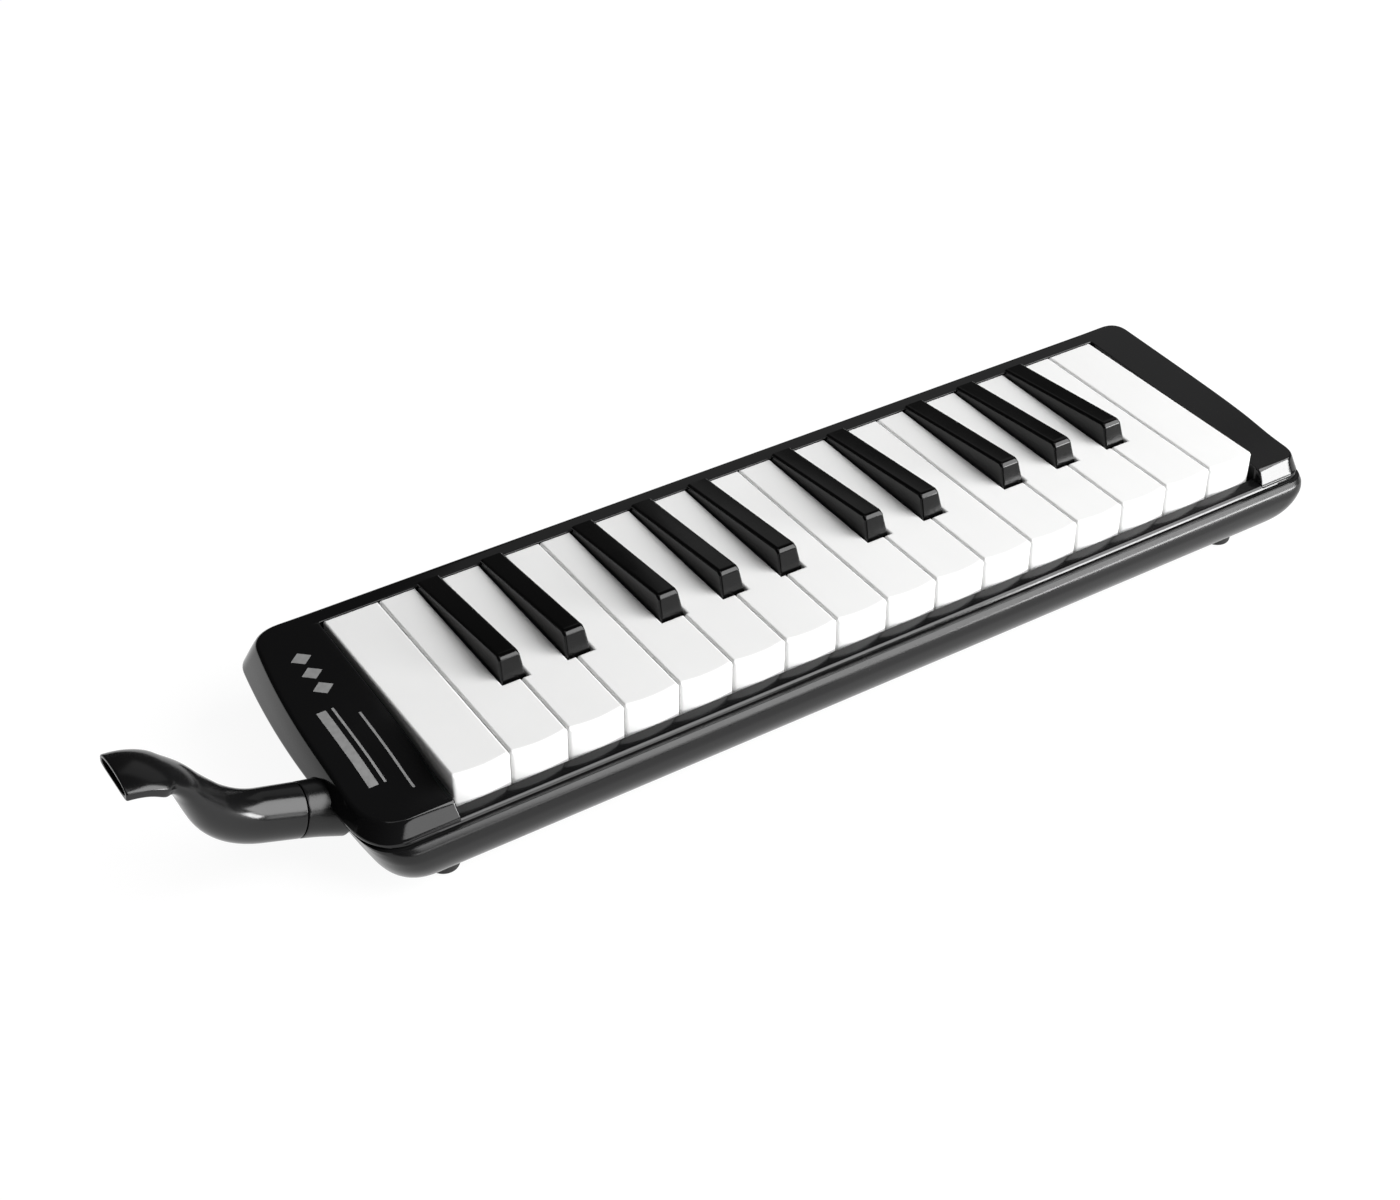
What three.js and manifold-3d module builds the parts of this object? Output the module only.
// A 26-key melodica, B3 to C6: housing, hinged keys, wind chamber with reed plates, water valve
// and a short push-in mouthpiece. Millimetres, +Z up.
//
// Everything is drawn in the keyboard's frame and moved once, at the end, so that the origin is
// the middle of the whole object's footprint. In the keyboard's frame X runs from the left side of
// the lowest white key to the right, Y from the key fronts to their tails, and Z = 0 is the top
// face of the rail in front of the keys.
import * as THREE from "three";
import { mergeVertices } from "three/addons/utils/BufferGeometryUtils.js";
import Module from "manifold-3d";

const wasm = await Module();
wasm.setup();

// ---- driving dimensions ----------------------------------------------------------------------

const GAP = 0.3; // between pieces that touch
const WALL = 2; // housing wall

// keyboard
const PITCH = 20; // from one white key to the next
const KEY_GAP = 0.4; // between two white keys
const KEY_TAIL = 89; // rear end of every key
const WHITE_TOP = 11.9;
const WHITE_SKIRT = -1.5; // lower edge of a white key's front
const FRONT_BULGE = 1.25; // how far a white key's front bows out at its middle
const NOTCH_WIDTH = 9.4; // room left between the white keys for a black one
const NOTCH_FRONT = 29.6;
const BLACK_WIDTH = 8.7; // at the white keys' top
const BLACK_TOP_WIDTH = 7.4;
const BLACK_FRONT = 30.5;
const KEY_WALL = 1.5;
const KEY_UNDERSIDE = 2; // lower edge of a key between its skirt and its axle

// key hinge and what acts on the keys
const AXLE = { y: 72, z: 3, radius: 1.25 };
const AXLE_BORE = 1.6;
const PALLET = { y0: 79, y1: 88, halfWidth: 4, thickness: 1.2 };
const SPRING_RIB = { y0: 64.5, y1: 66, z: 2.8 };

// housing
const KEY_OPENING = { x0: -1, x1: 321.5, y0: -1.9, y1: 89.6 };
const FLOOR = -20; // underside of the case
const RAIL_RISE = 1.1; // how much higher the front rail is beside the keys than at its lip
// The ridge round the sides, where the cover's leaning walls meet the case's undercut ones.
const LEFT_SIDE = { rear: -27.3, bow: -34.2, bowY: 48, front: -30.8 };
const RIGHT_SIDE = 343;
const CASE_TOP = -1.5;
const COVER_BOTTOM = -1.2;

// socket and mouthpiece: the seam between them, and how steeply the socket rises
const SEAM = new THREE.Vector3(-39.7, 26, -1.9);
const SOCKET_RISE = THREE.MathUtils.degToRad(17.5);
const SOCKET_DEPTH = 20;
const SPIGOT_LENGTH = 15.2;
const SPIGOT_RADIUS = 6.3;

// wind chamber, reed block and what lies between them
const BLOCK = { x0: -6, x1: 322, y0: 43.5, y1: 89.5, z0: -6.5, z1: -1.5 };
const TRAY = { x0: -6, x1: 322, y0: 52, y1: 89.5, z0: -15.2, z1: -8.7, wall: 1.4 };
const ARM = { x0: -16, x1: -6.3, y0: 16, y1: 66, z1: -1.8 };
const CELL = { width: 4.4, y0: 56, y1: 84, roof: -3 };
const PLATE_TOP = -6.8;
const PLATE_THICKNESS = 1;

const FOOT = { radius: 5, bottom: -24, recess: 0.8 };
const FOOT_PLACES = [
  ["foot_front_left", -3.7, 2.6],
  ["foot_front_right", 311.3, 2.6],
  ["foot_rear_left", -3.7, 84],
  ["foot_rear_right", 311.3, 84],
];
const CASE_SCREW_PLACES = [
  ["case_screw_front_left", -12, 10],
  ["case_screw_front_right", 328, 12],
  ["case_screw_rear_left", -13, 78],
  ["case_screw_rear_right", 328, 78],
];
const BLOCK_SCREW_XS = [10, 85, 160, 235, 310];
const BLOCK_SCREW_Y = 47;
const VALVE = { x: 296, y: 66 };

const WHITE_NOTES = [
  "b3", "c4", "d4", "e4", "f4", "g4", "a4", "b4",
  "c5", "d5", "e5", "f5", "g5", "a5", "b5", "c6",
];
// A black key lies over the joint after its white note, moved sideways from it by this much.
const BLACK_SHIFT = { c: -1.9, d: 1.6, f: -3.5, g: 0, a: 2.8 };

// ---- solids from three.js geometry -----------------------------------------------------------

function solid(geometry) {
  const bare = geometry.clone();
  bare.deleteAttribute("normal");
  bare.deleteAttribute("uv");
  const merged = mergeVertices(bare, 1e-4);
  const corners = [];
  const index = merged.index.array;
  for (let i = 0; i < index.length; i += 3) {
    const [a, b, c] = index.slice(i, i + 3);
    if (a !== b && b !== c && c !== a) corners.push(a, b, c);
  }
  return new wasm.Manifold(
    new wasm.Mesh({
      numProp: 3,
      vertProperties: merged.attributes.position.array,
      triVerts: new Uint32Array(corners),
    }),
  );
}

function geometryOf(body) {
  const mesh = body.getMesh();
  const geometry = new THREE.BufferGeometry();
  geometry.setAttribute("position", new THREE.BufferAttribute(mesh.vertProperties, 3));
  geometry.setIndex(new THREE.BufferAttribute(mesh.triVerts, 1));
  const faceted = geometry.toNonIndexed();
  faceted.computeVertexNormals();
  return faceted;
}

function box(x0, x1, y0, y1, z0, z1) {
  const geometry = new THREE.BoxGeometry(x1 - x0, y1 - y0, z1 - z0);
  geometry.translate((x0 + x1) / 2, (y0 + y1) / 2, (z0 + z1) / 2);
  return solid(geometry);
}

// A plan outline raised from z0 to z1.
function raise(shape, z0, z1, curveSegments = 3) {
  const geometry = new THREE.ExtrudeGeometry(shape, {
    depth: z1 - z0,
    bevelEnabled: false,
    curveSegments,
  });
  geometry.translate(0, 0, z0);
  return geometry;
}

// A side outline of [y, z] points drawn out from x0 to x1.
function drawOut(sidePoints, x0, x1) {
  const shape = new THREE.Shape(sidePoints.map(([y, z]) => new THREE.Vector2(y, z)));
  const geometry = raise(shape, x0, x1);
  const turn = new THREE.Matrix4().makeBasis(
    new THREE.Vector3(0, 1, 0),
    new THREE.Vector3(0, 0, 1),
    new THREE.Vector3(1, 0, 0),
  );
  geometry.applyMatrix4(turn);
  return geometry;
}

// [radius, z] points turned about Z. The outline starts and ends on the axis.
function turned(points, segments = 20) {
  const outline = points.map(([r, z]) => new THREE.Vector2(r, z));
  const geometry = new THREE.LatheGeometry(outline, segments);
  geometry.rotateX(Math.PI / 2);
  return geometry;
}

function rod(radius, z0, z1, segments = 16) {
  return turned([[0, z0], [radius, z0], [radius, z1], [0, z1]], segments);
}

function moved(geometry, x, y, z = 0) {
  geometry.translate(x, y, z);
  return geometry;
}

function alongAxle(radius, x0, x1, segments) {
  const bore = new THREE.CylinderGeometry(radius, radius, x1 - x0, segments);
  bore.rotateZ(Math.PI / 2);
  bore.translate((x0 + x1) / 2, AXLE.y, AXLE.z);
  return bore;
}

// A closed skin over rings of points, the same number in each, listed anticlockwise as seen from
// the end where the last ring is.
function loft(rings) {
  const count = rings[0].length;
  const corners = [];
  for (let k = 0; k + 1 < rings.length; k += 1) {
    for (let i = 0; i < count; i += 1) {
      const here = k * count + i;
      const next = k * count + ((i + 1) % count);
      corners.push(here, next, next + count, here, next + count, here + count);
    }
  }
  const last = (rings.length - 1) * count;
  for (let i = 1; i + 1 < count; i += 1) {
    corners.push(0, i + 1, i, last, last + i, last + i + 1);
  }
  const geometry = new THREE.BufferGeometry().setFromPoints(rings.flat());
  geometry.setIndex(corners);
  return geometry;
}

// ---- the keys --------------------------------------------------------------------------------

function blackShiftAfter(whiteIndex) {
  const isInside = whiteIndex >= 0 && whiteIndex + 1 < WHITE_NOTES.length;
  return isInside ? BLACK_SHIFT[WHITE_NOTES[whiteIndex][0]] : undefined;
}

// Where each white key's tail runs between its black neighbours, measured from its left joint.
function tailOf(whiteIndex) {
  const before = whiteIndex === 0 ? undefined : blackShiftAfter(whiteIndex - 1);
  const after = blackShiftAfter(whiteIndex);
  const left = before === undefined ? KEY_GAP / 2 : before + NOTCH_WIDTH / 2;
  const right = after === undefined ? PITCH - KEY_GAP / 2 : PITCH + after - NOTCH_WIDTH / 2;
  return { left, right, notchLeft: before !== undefined, notchRight: after !== undefined };
}

const whiteKeys = WHITE_NOTES.map((note, i) => {
  const tail = tailOf(i);
  return { note, x: i * PITCH, tail, lever: i * PITCH + (tail.left + tail.right) / 2 };
});
// Every white note but E and B is followed by a black key, apart from the last.
const blackKeys = WHITE_NOTES.flatMap((note, i) => {
  const shift = blackShiftAfter(i);
  return shift === undefined ? [] : [{ note, x: (i + 1) * PITCH + shift }];
});
const levers = [...whiteKeys.map((key) => key.lever), ...blackKeys.map((key) => key.x)];

function whiteOutline(tail, inset) {
  const left = KEY_GAP / 2 + inset;
  const right = PITCH - KEY_GAP / 2 - inset;
  const shoulder = NOTCH_FRONT - inset;
  const rear = KEY_TAIL - inset;
  const shape = new THREE.Shape();
  shape.moveTo(left, inset);
  shape.quadraticCurveTo(PITCH / 2, inset - 2 * FRONT_BULGE, right, inset);
  if (tail.notchRight) {
    shape.lineTo(right, shoulder);
    shape.lineTo(tail.right - inset, shoulder);
  }
  shape.lineTo(tail.right - inset, rear);
  shape.lineTo(tail.left + inset, rear);
  if (tail.notchLeft) {
    shape.lineTo(tail.left + inset, shoulder);
    shape.lineTo(left, shoulder);
  }
  shape.closePath();
  return shape;
}

// The rib that the spring finger presses, the pad's carrier and the pad itself.
function leverFittings(middle, halfWidth) {
  const rib = box(middle - halfWidth, middle + halfWidth, SPRING_RIB.y0, SPRING_RIB.y1,
    SPRING_RIB.z, WHITE_TOP - 1);
  const carrier = box(middle - halfWidth, middle + halfWidth, PALLET.y0 - 1, KEY_TAIL - 0.8, 0, 1.4);
  const padHalf = Math.min(PALLET.halfWidth, halfWidth);
  const pad = box(middle - padHalf, middle + padHalf, PALLET.y0, PALLET.y1,
    -PALLET.thickness, 0.2);
  return rib.add(carrier).add(pad);
}

function whiteKey(tail) {
  const outer = solid(raise(whiteOutline(tail, 0), WHITE_SKIRT, WHITE_TOP));
  const inside = whiteOutline(tail, KEY_WALL);
  const hollow = solid(raise(inside, WHITE_SKIRT - 1, WHITE_TOP - KEY_WALL, 2));
  const underside = solid(drawOut(
    [[8, WHITE_SKIRT - 1], [95, WHITE_SKIRT - 1], [95, 0], [68, 0],
      [66, KEY_UNDERSIDE], [12, KEY_UNDERSIDE]],
    -1, PITCH + 1,
  ));
  const middle = (tail.left + tail.right) / 2;
  const halfWidth = (tail.right - tail.left) / 2 - 0.5;
  return outer
    .subtract(hollow)
    .subtract(underside)
    .add(leverFittings(middle, halfWidth))
    .subtract(solid(alongAxle(AXLE_BORE, -1, PITCH + 1, 8)));
}

function blackKey() {
  const half = BLACK_WIDTH / 2;
  const body = drawOut(
    [[BLACK_FRONT, KEY_UNDERSIDE], [66, KEY_UNDERSIDE], [68, 0], [88.5, 0], [88.5, 13.9],
      [34.5, 19.6], [33.2, 18.9], [BLACK_FRONT + 0.3, 12], [BLACK_FRONT, 11]],
    -half, half,
  );
  const places = body.attributes.position;
  const taper = (half - BLACK_TOP_WIDTH / 2) / (19.6 - WHITE_TOP);
  for (let i = 0; i < places.count; i += 1) {
    const over = Math.max(0, places.getZ(i) - WHITE_TOP);
    places.setX(i, Math.sign(places.getX(i)) * (half - taper * over));
  }
  const hollow = box(-half + KEY_WALL, half - KEY_WALL, 32.5, 87, -1, WHITE_TOP - 1);
  return solid(body)
    .subtract(hollow)
    .add(leverFittings(0, half - 0.5))
    .subtract(solid(alongAxle(AXLE_BORE, -PITCH, PITCH, 8)));
}

// ---- the housing -----------------------------------------------------------------------------

// One level of the housing: its front and rear, how far its left side's rear and front ends and its
// right side stand in from the ridge, and the reach of the rounded front corners.
function level(z, front, rear, leftRear, leftFront, right, frontLeft, frontRight) {
  return { z, front, rear, leftRear, leftFront, right, frontLeft, frontRight };
}

const REAR_LEFT_REACH = 9;
const REAR_RIGHT_REACH = 7;

// The point at this distance in Y past end, on the line from start.
function beyond(start, end, reach) {
  return end.clone().addScaledVector(end.clone().sub(start), Math.abs(reach / (end.y - start.y)));
}

function outlineRing(row) {
  const { z, front, rear, frontLeft, frontRight } = row;
  const right = RIGHT_SIDE - row.right;
  const leftFront = new THREE.Vector2(LEFT_SIDE.front + row.leftFront, front + frontLeft[1]);
  const leftRear = new THREE.Vector2(LEFT_SIDE.rear + row.leftRear, rear - REAR_LEFT_REACH);
  const bowIn = (row.leftFront + row.leftRear) / 2;
  const bow = new THREE.Vector2(LEFT_SIDE.bow + bowIn, LEFT_SIDE.bowY);
  const frontCorner = beyond(bow, leftFront, frontLeft[1]);
  const rearCorner = beyond(bow, leftRear, REAR_LEFT_REACH);
  const path = new THREE.Path();
  path.moveTo(frontCorner.x + frontLeft[0], front);
  path.lineTo(right - frontRight[0], front);
  path.quadraticCurveTo(right, front, right, front + frontRight[1]);
  path.lineTo(right, rear - REAR_RIGHT_REACH);
  path.quadraticCurveTo(right, rear, right - REAR_RIGHT_REACH, rear);
  path.lineTo(rearCorner.x + REAR_LEFT_REACH, rear);
  path.quadraticCurveTo(rearCorner.x, rearCorner.y, leftRear.x, leftRear.y);
  path.quadraticCurveTo(bow.x, bow.y, leftFront.x, leftFront.y);
  path.quadraticCurveTo(frontCorner.x, frontCorner.y, frontCorner.x + frontLeft[0], front);
  const points = path.getPoints(4);
  points.pop();
  return points.map((point) => new THREE.Vector3(point.x, point.y, z));
}

function insetLevel(row, inset, z = row.z) {
  return {
    ...row,
    z,
    front: row.front + inset,
    rear: row.rear - inset,
    leftRear: row.leftRear + inset,
    leftFront: row.leftFront + inset,
    right: row.right + inset,
  };
}

// The case from its flat bottom up: undercut at the sides and rear, bulging along the front.
const CASE_LEVELS = [
  level(FLOOR, 1.5, 86, 12, 12.5, 9, [12, 15], [15, 15]),
  level(-18.9, -3.3, 89, 8.8, 9.4, 5.4, [12, 15], [15, 15]),
  level(-14, -8.6, 94.4, 4.8, 6, 1.5, [12, 15], [15, 15]),
  level(-7, -10.5, 98.6, 2.3, 3.4, 0.1, [12, 15], [12, 12]),
  level(-3.5, -9.7, 100, 1.15, 1.8, 0.4, [12, 15], [10, 10]),
  level(CASE_TOP, -8.2, 100.7, 0.45, 0.7, 1, [12, 14.5], [9, 9]),
];

function caseShell() {
  const hollow = [insetLevel(CASE_LEVELS[0], 0, FLOOR + WALL)];
  hollow.push(...CASE_LEVELS.slice(2).map((row) => insetLevel(row, WALL)));
  hollow.push(insetLevel(CASE_LEVELS.at(-1), WALL, CASE_TOP + 1));
  return solid(loft(CASE_LEVELS.map(outlineRing))).subtract(solid(loft(hollow.map(outlineRing))));
}

// Pieces on the socket's axis are drawn about Z, with the seam at 0 and the open end upwards.
function onSocketAxis(geometry) {
  const frame = new THREE.Matrix4().makeBasis(
    new THREE.Vector3(Math.sin(SOCKET_RISE), 0, Math.cos(SOCKET_RISE)),
    new THREE.Vector3(0, 1, 0),
    new THREE.Vector3(-Math.cos(SOCKET_RISE), 0, Math.sin(SOCKET_RISE)),
  );
  frame.setPosition(SEAM);
  geometry.applyMatrix4(frame);
  return geometry;
}

function socketBody(extra) {
  return solid(onSocketAxis(turned([
    [0, -SOCKET_DEPTH - extra],
    [7.2 + extra, -SOCKET_DEPTH - extra],
    [9.7 + extra, -14],
    [9.2 + extra, -8.5],
    [8.6 + extra, 0],
    [0, 0],
  ], 32)));
}

function bottomCase() {
  let body = caseShell().add(socketBody(0));
  const bore = turned([
    [0, -SOCKET_DEPTH - 1],
    [4.6, -SOCKET_DEPTH - 1],
    [4.6, -SPIGOT_LENGTH - 0.6],
    [SPIGOT_RADIUS + 0.4, -SPIGOT_LENGTH - 0.6],
    [SPIGOT_RADIUS + 0.4, 1],
    [0, 1],
  ], 32);
  body = body.subtract(solid(onSocketAxis(bore)));
  body = body.add(box(-0.5, 321, 4, 7, FLOOR + 1, -9.1)); // rib that carries the felt
  for (const x of BLOCK_SCREW_XS) {
    body = body.add(solid(moved(rod(3.2, FLOOR + 1, BLOCK.z0 - GAP, 8), x, BLOCK_SCREW_Y)));
    body = body.subtract(solid(moved(rod(1.6, -15, 0, 8), x, BLOCK_SCREW_Y)));
  }
  for (const [, x, y] of CASE_SCREW_PLACES) {
    body = body.add(solid(moved(rod(4.6, FLOOR + 1, CASE_TOP, 8), x, y)));
    const hole = turned([[0, FLOOR - 1], [3.3, FLOOR - 1], [3.3, -17], [1.8, -17], [1.8, 0],
      [0, 0]], 12);
    body = body.subtract(solid(moved(hole, x, y)));
  }
  for (const [, x, y] of FOOT_PLACES) {
    body = body.subtract(solid(moved(rod(FOOT.radius + GAP, FLOOR - 1, FLOOR + FOOT.recess), x, y)));
  }
  return body.subtract(solid(moved(rod(4.4, FLOOR - 1, FLOOR + 3), VALVE.x, VALVE.y)));
}

// The cheeks' top falls towards the front. Height over Y, lowered by drop.
function cheekProfile(drop) {
  const line = new THREE.SplineCurve([
    new THREE.Vector2(-8, 5.2),
    new THREE.Vector2(-3, 5.5),
    new THREE.Vector2(10, 6.2),
    new THREE.Vector2(26, 8.4),
    new THREE.Vector2(48, 9.8),
    new THREE.Vector2(90, 11.5),
    new THREE.Vector2(103, 11.9),
  ]);
  const top = line.getPoints(15).map((point) => [point.x, point.y - drop]);
  return [[103, -5], ...top.reverse(), [-8, -5]];
}

// The cover's walls lean in from the ridge to the top.
const COVER_LEVELS = [
  level(COVER_BOTTOM, -7.2, 100.7, 0.4, 0.6, 1.1, [12, 14.5], [9, 9]),
  level(0.3, -5.9, 101, 0, 0, 1.15, [12, 14], [8, 8]),
  level(6, -2.9, 98.6, 1.9, 2.2, 2.6, [12, 16], [6, 7]),
  level(10, -1, 96.9, 3.4, 4.4, 3.4, [12, 19], [5, 6]),
  level(12, 0, 95.4, 4.3, 5.8, 4, [12, 21], [5, 6]),
];

function coverRings(inset) {
  const brow = KEY_OPENING.y0 + 2.5;
  return COVER_LEVELS.map((row) => {
    if (inset === 0) return outlineRing(row);
    const z = row.z === COVER_BOTTOM ? row.z - 1 : row.z;
    return outlineRing({ ...insetLevel(row, inset, z), front: brow });
  });
}

function topCover() {
  const under = (drop) => solid(drawOut(cheekProfile(drop), -60, 380));
  const outer = solid(loft(coverRings(0))).intersect(under(0));
  const cavity = solid(loft(coverRings(WALL))).intersect(under(WALL));
  const { x0, x1, y0, y1 } = KEY_OPENING;
  const overRail = drawOut([
    [-20, 0], [-6, 0], [y0, RAIL_RISE], [y0 + 1, RAIL_RISE], [y0 + 1, 30], [-20, 30],
  ], x0, x1);
  const cheekWalls = box(x0 - 1.5, x0, y0, y1 + 1, COVER_BOTTOM, 20)
    .add(box(x1, x1 + 1.5, y0, y1 + 1, COVER_BOTTOM, 20));
  let body = outer.subtract(cavity).add(cheekWalls.intersect(outer));
  for (const [, x, y] of CASE_SCREW_PLACES) {
    body = body.add(solid(moved(rod(3.4, COVER_BOTTOM, 20, 8), x, y)).intersect(outer));
    body = body.subtract(solid(moved(rod(1.7, COVER_BOTTOM - 1, 3.6, 8), x, y)));
  }
  return body
    .subtract(box(x0, x1, y0, y1, -5, 30))
    .subtract(solid(overRail))
    .subtract(socketBody(GAP));
}

function foot() {
  const { radius, bottom, recess } = FOOT;
  const top = FLOOR + recess - GAP;
  return turned([
    [0, bottom], [radius - 0.7, bottom], [radius, bottom + 0.7], [radius, top], [0, top],
  ]);
}

// A cross-recessed screw with its head's outer face at z = 0 and its shank along +Z.
function screw(headRadius, headHeight, shankRadius, length) {
  const body = solid(turned([
    [0, 0], [headRadius - 0.4, 0], [headRadius, 0.4], [headRadius, headHeight],
    [shankRadius, headHeight], [shankRadius, length - 0.8], [0, length],
  ], 12));
  const reach = headRadius * 0.6;
  return body
    .subtract(box(-reach, reach, -0.4, 0.4, -1, 0.9))
    .subtract(box(-0.4, 0.4, -reach, reach, -1, 0.9));
}

// ---- the mouthpiece --------------------------------------------------------------------------

// The tube's middle line lies in the plane y = SEAM.y: straight out of the socket, a bend up, a
// bend back and the bill. Each stretch turns evenly from one heading to the next.
const MOUTHPIECE_STRETCHES = [
  { length: 12, from: 17.5, to: 17.5, steps: 2 },
  { length: 20, from: 17.5, to: 60, steps: 4 },
  { length: 10.7, from: 60, to: 64, steps: 2 },
  { length: 21.8, from: 64, to: 10, steps: 5 },
  { length: 3, from: 10, to: 6, steps: 1 },
];
// Half sizes of the oval section, evenly spaced from the seam to the tip.
const OUTER = { across: [8.6, 8.1, 8.2, 8.2, 10.3, 10.2], up: [8.6, 8.4, 7.4, 5, 3.5, 3.4] };
const INNER = { across: [4.2, 6.4, 6.6, 6.6, 8.6, 8.7], up: [4.2, 6.4, 5.8, 3.5, 2.4, 2.4] };

function mouthpieceLine() {
  const total = MOUTHPIECE_STRETCHES.reduce((sum, stretch) => sum + stretch.length, 0);
  const place = SEAM.clone();
  place.x -= GAP * Math.cos(SOCKET_RISE);
  place.z += GAP * Math.sin(SOCKET_RISE);
  const line = [{ place: place.clone(), heading: SOCKET_RISE, share: 0 }];
  let run = 0;
  for (const { length, from, to, steps } of MOUTHPIECE_STRETCHES) {
    for (let k = 1; k <= steps; k += 1) {
      const halfway = THREE.MathUtils.degToRad(from + ((to - from) * (k - 0.5)) / steps);
      const heading = THREE.MathUtils.degToRad(from + ((to - from) * k) / steps);
      const step = length / steps;
      place.x -= step * Math.cos(halfway);
      place.z += step * Math.sin(halfway);
      run += step;
      line.push({ place: place.clone(), heading, share: run / total });
    }
  }
  return line;
}

function halfSize(values, share) {
  const curve = new THREE.SplineCurve(values.map((value, i) => new THREE.Vector2(i, value)));
  return curve.getPoint(share).y;
}

function ovalRing({ place, heading, share }, sizes, slide = 0) {
  const across = halfSize(sizes.across, share);
  const up = halfSize(sizes.up, share);
  const count = 16;
  const ring = [];
  for (let i = 0; i < count; i += 1) {
    const turn = (-2 * Math.PI * i) / count;
    const rise = up * Math.sin(turn);
    ring.push(new THREE.Vector3(
      place.x + rise * Math.sin(heading) - slide * Math.cos(heading),
      place.y + across * Math.cos(turn),
      place.z + rise * Math.cos(heading) + slide * Math.sin(heading),
    ));
  }
  return ring;
}

function mouthpiece() {
  const line = mouthpieceLine();
  const outer = solid(loft(line.map((station) => ovalRing(station, OUTER))));
  const last = line.length - 1;
  const inner = solid(loft(line.map((station, i) => {
    const slide = i === 0 ? -0.5 : i === last ? 0.5 : 0;
    return ovalRing(station, INNER, slide);
  })));
  const spigot = solid(onSocketAxis(turned([
    [0, -SPIGOT_LENGTH], [SPIGOT_RADIUS - 0.5, -SPIGOT_LENGTH], [SPIGOT_RADIUS, -SPIGOT_LENGTH + 1],
    [SPIGOT_RADIUS, -9.2], [5, -9.2], [5, -6.8], [SPIGOT_RADIUS, -6.8], [SPIGOT_RADIUS, 0.5],
    [0, 0.5],
  ])));
  const bore = solid(onSocketAxis(rod(4.2, -SPIGOT_LENGTH - 1, 1, 24)));
  return outer.add(spigot).subtract(inner).subtract(bore);
}

function mouthpieceSeal() {
  const ring = new THREE.TorusGeometry(5.85, 0.55, 6, 20);
  ring.translate(0, 0, -8);
  return onSocketAxis(ring);
}

// ---- wind chamber, reeds and springs ----------------------------------------------------------

function windChamber() {
  const { x0, x1, y0, y1, z0, z1, wall } = TRAY;
  const inletEnd = -SOCKET_DEPTH - 2.6;
  const stub = solid(onSocketAxis(rod(6.3, inletEnd - 7, inletEnd, 24)));
  const inlet = solid(onSocketAxis(rod(4.6, inletEnd - 8, inletEnd + 1, 24)));
  const armHollow = box(ARM.x0 + wall, ARM.x1 - wall, ARM.y0 + wall, ARM.y1 - wall,
    z0 + wall, ARM.z1 - wall);
  const crossing = box(ARM.x1 - 3, x0 + 3, y0 + wall, ARM.y1 - wall, z0 + wall, z1 - wall);
  const trayHollow = box(x0 + wall, x1 - wall, y0 + wall, y1 - wall, z0 + wall, z1 + 1);
  return box(ARM.x0, ARM.x1, ARM.y0, ARM.y1, z0, ARM.z1)
    .add(stub)
    .add(box(ARM.x1 - 1, x1, y0, y1, z0, z1))
    .subtract(armHollow)
    .subtract(crossing)
    .subtract(trayHollow)
    .subtract(inlet)
    .subtract(solid(moved(rod(2.4, z0 - 1, z0 + wall + 1), VALVE.x, VALVE.y)));
}

function inletSeal() {
  const ring = [[4.8, -SOCKET_DEPTH - 2.3], [6.3, -SOCKET_DEPTH - 2.3], [6.3, -SOCKET_DEPTH - GAP],
    [4.8, -SOCKET_DEPTH - GAP], [4.8, -SOCKET_DEPTH - 2.3]];
  return onSocketAxis(turned(ring));
}

function chamberGasket() {
  const { x0, x1, y0, y1, z1, wall } = TRAY;
  const low = z1 + 0.2;
  const high = BLOCK.z0 - 0.2;
  return box(x0, x1, y0, y1, low, high)
    .subtract(box(x0 + wall, x1 - wall, y0 + wall, y1 - wall, low - 1, high + 1));
}

function reedBlock() {
  const { x0, x1, y0, y1, z0, z1 } = BLOCK;
  let body = box(x0, x1, y0, y1, z0, z1);
  for (const key of whiteKeys) {
    body = body.add(box(key.lever - 2, key.lever + 2, AXLE.y - 3.3, AXLE.y + 3.3, z1 - 0.5, 5.6));
  }
  body = body.subtract(solid(alongAxle(AXLE_BORE, x0, x1, 8)));
  for (const x of levers) {
    const half = CELL.width / 2;
    body = body
      .subtract(box(x - half, x + half, CELL.y0, CELL.y1, z0 - 1, CELL.roof))
      .subtract(box(x - half, x + half, PALLET.y0 + 1.5, PALLET.y1 - 1.5, CELL.roof - 1, z1 + 1));
  }
  for (const x of BLOCK_SCREW_XS) {
    const hole = turned([[0, z0 - 1], [1.6, z0 - 1], [1.6, z1 - 1.4], [2.9, z1 - 1.4],
      [2.9, z1 + 1], [0, z1 + 1]], 8);
    body = body.subtract(solid(moved(hole, x, BLOCK_SCREW_Y)));
  }
  return body;
}

// A brass plate with one slot for each key and the tongue riveted over it. Low notes have long
// tongues.
function reedPlate(x0, x1) {
  const top = PLATE_TOP;
  const bottom = top - PLATE_THICKNESS;
  let plate = box(x0, x1, 54, 87.5, bottom, top);
  for (const x of levers.filter((lever) => lever > x0 && lever < x1)) {
    const length = THREE.MathUtils.mapLinear(x, 0, 320, 24, 12);
    const root = 59;
    plate = plate
      .subtract(box(x - 1.5, x + 1.5, root, root + length, bottom - 1, top + 1))
      .add(box(x - 1.2, x + 1.2, root - 3, root + length - 0.5, bottom - 0.35, bottom + 0.02));
  }
  return plate;
}

function springComb() {
  const low = BLOCK.z1 + GAP;
  const high = low + 0.4;
  let comb = box(2, 318, 50.5, 56.5, low, high);
  for (const x of levers) {
    const finger = drawOut([[55.5, low], [56.5, low], [66, 1.5], [66, 1.9], [56.3, high], [55.5, high]],
      x - 1.8, x + 1.8);
    comb = comb.add(solid(finger));
  }
  return comb;
}

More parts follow.
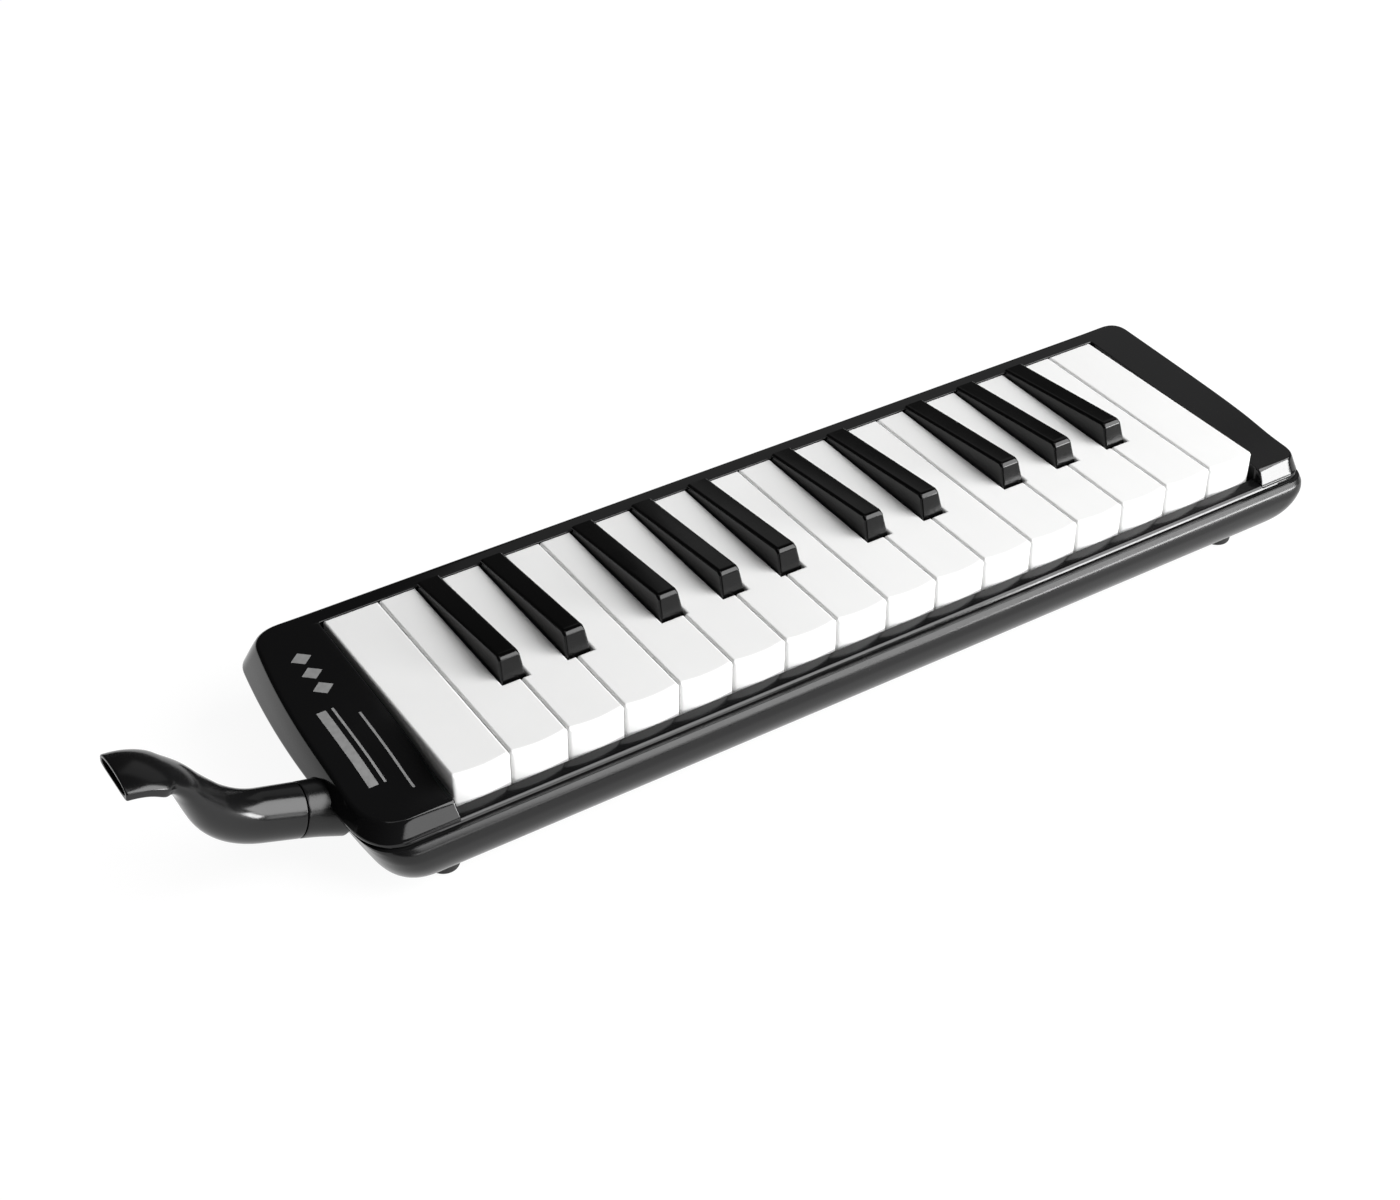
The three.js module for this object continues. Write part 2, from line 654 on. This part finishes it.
function waterButton() {
  const rim = FLOOR + WALL + GAP;
  return solid(turned([
    [0, -20.8], [3.6, -20.8], [4, -20.4], [4, rim], [5.4, rim], [5.4, rim + 0.7], [3.2, rim + 0.7],
    [3.2, -20], [1.2, -20], [1.2, -13.8], [0, -13.8],
  ]));
}

class Helix extends THREE.Curve {
  getPoint(t, target = new THREE.Vector3()) {
    const turn = 2 * Math.PI * 4 * t;
    return target.set(2.5 * Math.cos(turn), 2.5 * Math.sin(turn), -19.45 + 3.7 * t);
  }
}

function waterSpring() {
  const wire = new THREE.Shape();
  wire.absarc(0, 0, 0.25, 0, 2 * Math.PI);
  return new THREE.ExtrudeGeometry(wire, {
    steps: 40,
    bevelEnabled: false,
    curveSegments: 3,
    extrudePath: new Helix(),
  });
}

// ---- materials and assembly ------------------------------------------------------------------

function finish(colour, roughness, metalness = 0) {
  return new THREE.MeshStandardMaterial({ color: colour, roughness, metalness });
}
const glossBlack = () => finish(0x141414, 0.22);
const ivory = () => finish(0xf4f4f2, 0.35);
const keyBlack = () => finish(0x0b0b0c, 0.15);
const rubber = () => finish(0x1c1c1c, 0.85);
const steel = () => finish(0xb9bcc0, 0.3, 1);
const brass = () => finish(0xc9a54a, 0.3, 1);
const greyPlastic = () => finish(0x8c8f90, 0.5);
const redFelt = () => finish(0x7a1f22, 0.95);
const foam = () => finish(0x2a2a2c, 0.95);

function add(group, name, shape, material, x = 0, y = 0, z = 0) {
  const geometry = shape.isBufferGeometry ? shape : geometryOf(shape);
  const mesh = new THREE.Mesh(geometry, material);
  mesh.name = name;
  mesh.position.set(x, y, z);
  group.add(mesh);
}

function keyboard() {
  const group = new THREE.Group();
  for (const { note, x, tail } of whiteKeys) {
    add(group, `white_key_${note}`, whiteKey(tail), ivory(), x);
  }
  for (const { note, x } of blackKeys) {
    add(group, `black_key_${note[0]}_sharp_${note[1]}`, blackKey(), keyBlack(), x);
  }
  add(group, "key_axle", alongAxle(AXLE.radius, 0.6, 319.4, 12), steel());
  add(group, "front_felt", box(1, 319, 2, 9, -8.8, -7.2), redFelt());
  return group;
}

function housing() {
  const group = new THREE.Group();
  add(group, "top_cover", topCover(), glossBlack());
  add(group, "bottom_case", bottomCase(), glossBlack());
  for (const [name, x, y] of FOOT_PLACES) add(group, name, foot(), rubber(), x, y);
  for (const [name, x, y] of CASE_SCREW_PLACES) {
    add(group, name, screw(2.9, 2.2, 1.4, 22), steel(), x, y, -19.4);
  }
  return group;
}

function windSystem() {
  const group = new THREE.Group();
  add(group, "wind_chamber", windChamber(), greyPlastic());
  add(group, "inlet_seal", inletSeal(), rubber());
  add(group, "chamber_gasket", chamberGasket(), foam());
  add(group, "reed_block", reedBlock(), greyPlastic());
  add(group, "reed_plate_low", reedPlate(-4, 147), brass());
  add(group, "reed_plate_high", reedPlate(148, 320), brass());
  add(group, "spring_comb", springComb(), steel());
  BLOCK_SCREW_XS.forEach((x, i) => {
    const fastener = new THREE.Group();
    fastener.position.set(x, BLOCK_SCREW_Y, BLOCK.z1 - 0.1);
    fastener.rotation.x = Math.PI; // head up
    add(fastener, `block_screw_${i + 1}`, screw(2.6, 1, 1.3, 12), steel());
    group.add(fastener);
  });
  return group;
}

function waterValve() {
  const group = new THREE.Group();
  group.position.set(VALVE.x, VALVE.y, 0);
  add(group, "water_valve_button", waterButton(), greyPlastic());
  add(group, "water_valve_spring", waterSpring(), steel());
  add(group, "water_valve_pad", rod(3.6, -13.5, -12.3, 24), rubber());
  return group;
}

function blowEnd() {
  const group = new THREE.Group();
  add(group, "mouthpiece", mouthpiece(), glossBlack());
  add(group, "mouthpiece_seal", mouthpieceSeal(), rubber());
  return group;
}

const melodica = new THREE.Group();
melodica.add(housing(), keyboard(), windSystem(), waterValve(), blowEnd());

// The origin: the middle of the footprint, on the surface that the feet stand on.
const extent = new THREE.Box3().setFromObject(melodica, true);
const middle = extent.getCenter(new THREE.Vector3());
melodica.position.set(-middle.x, -middle.y, -extent.min.z);

export default melodica;
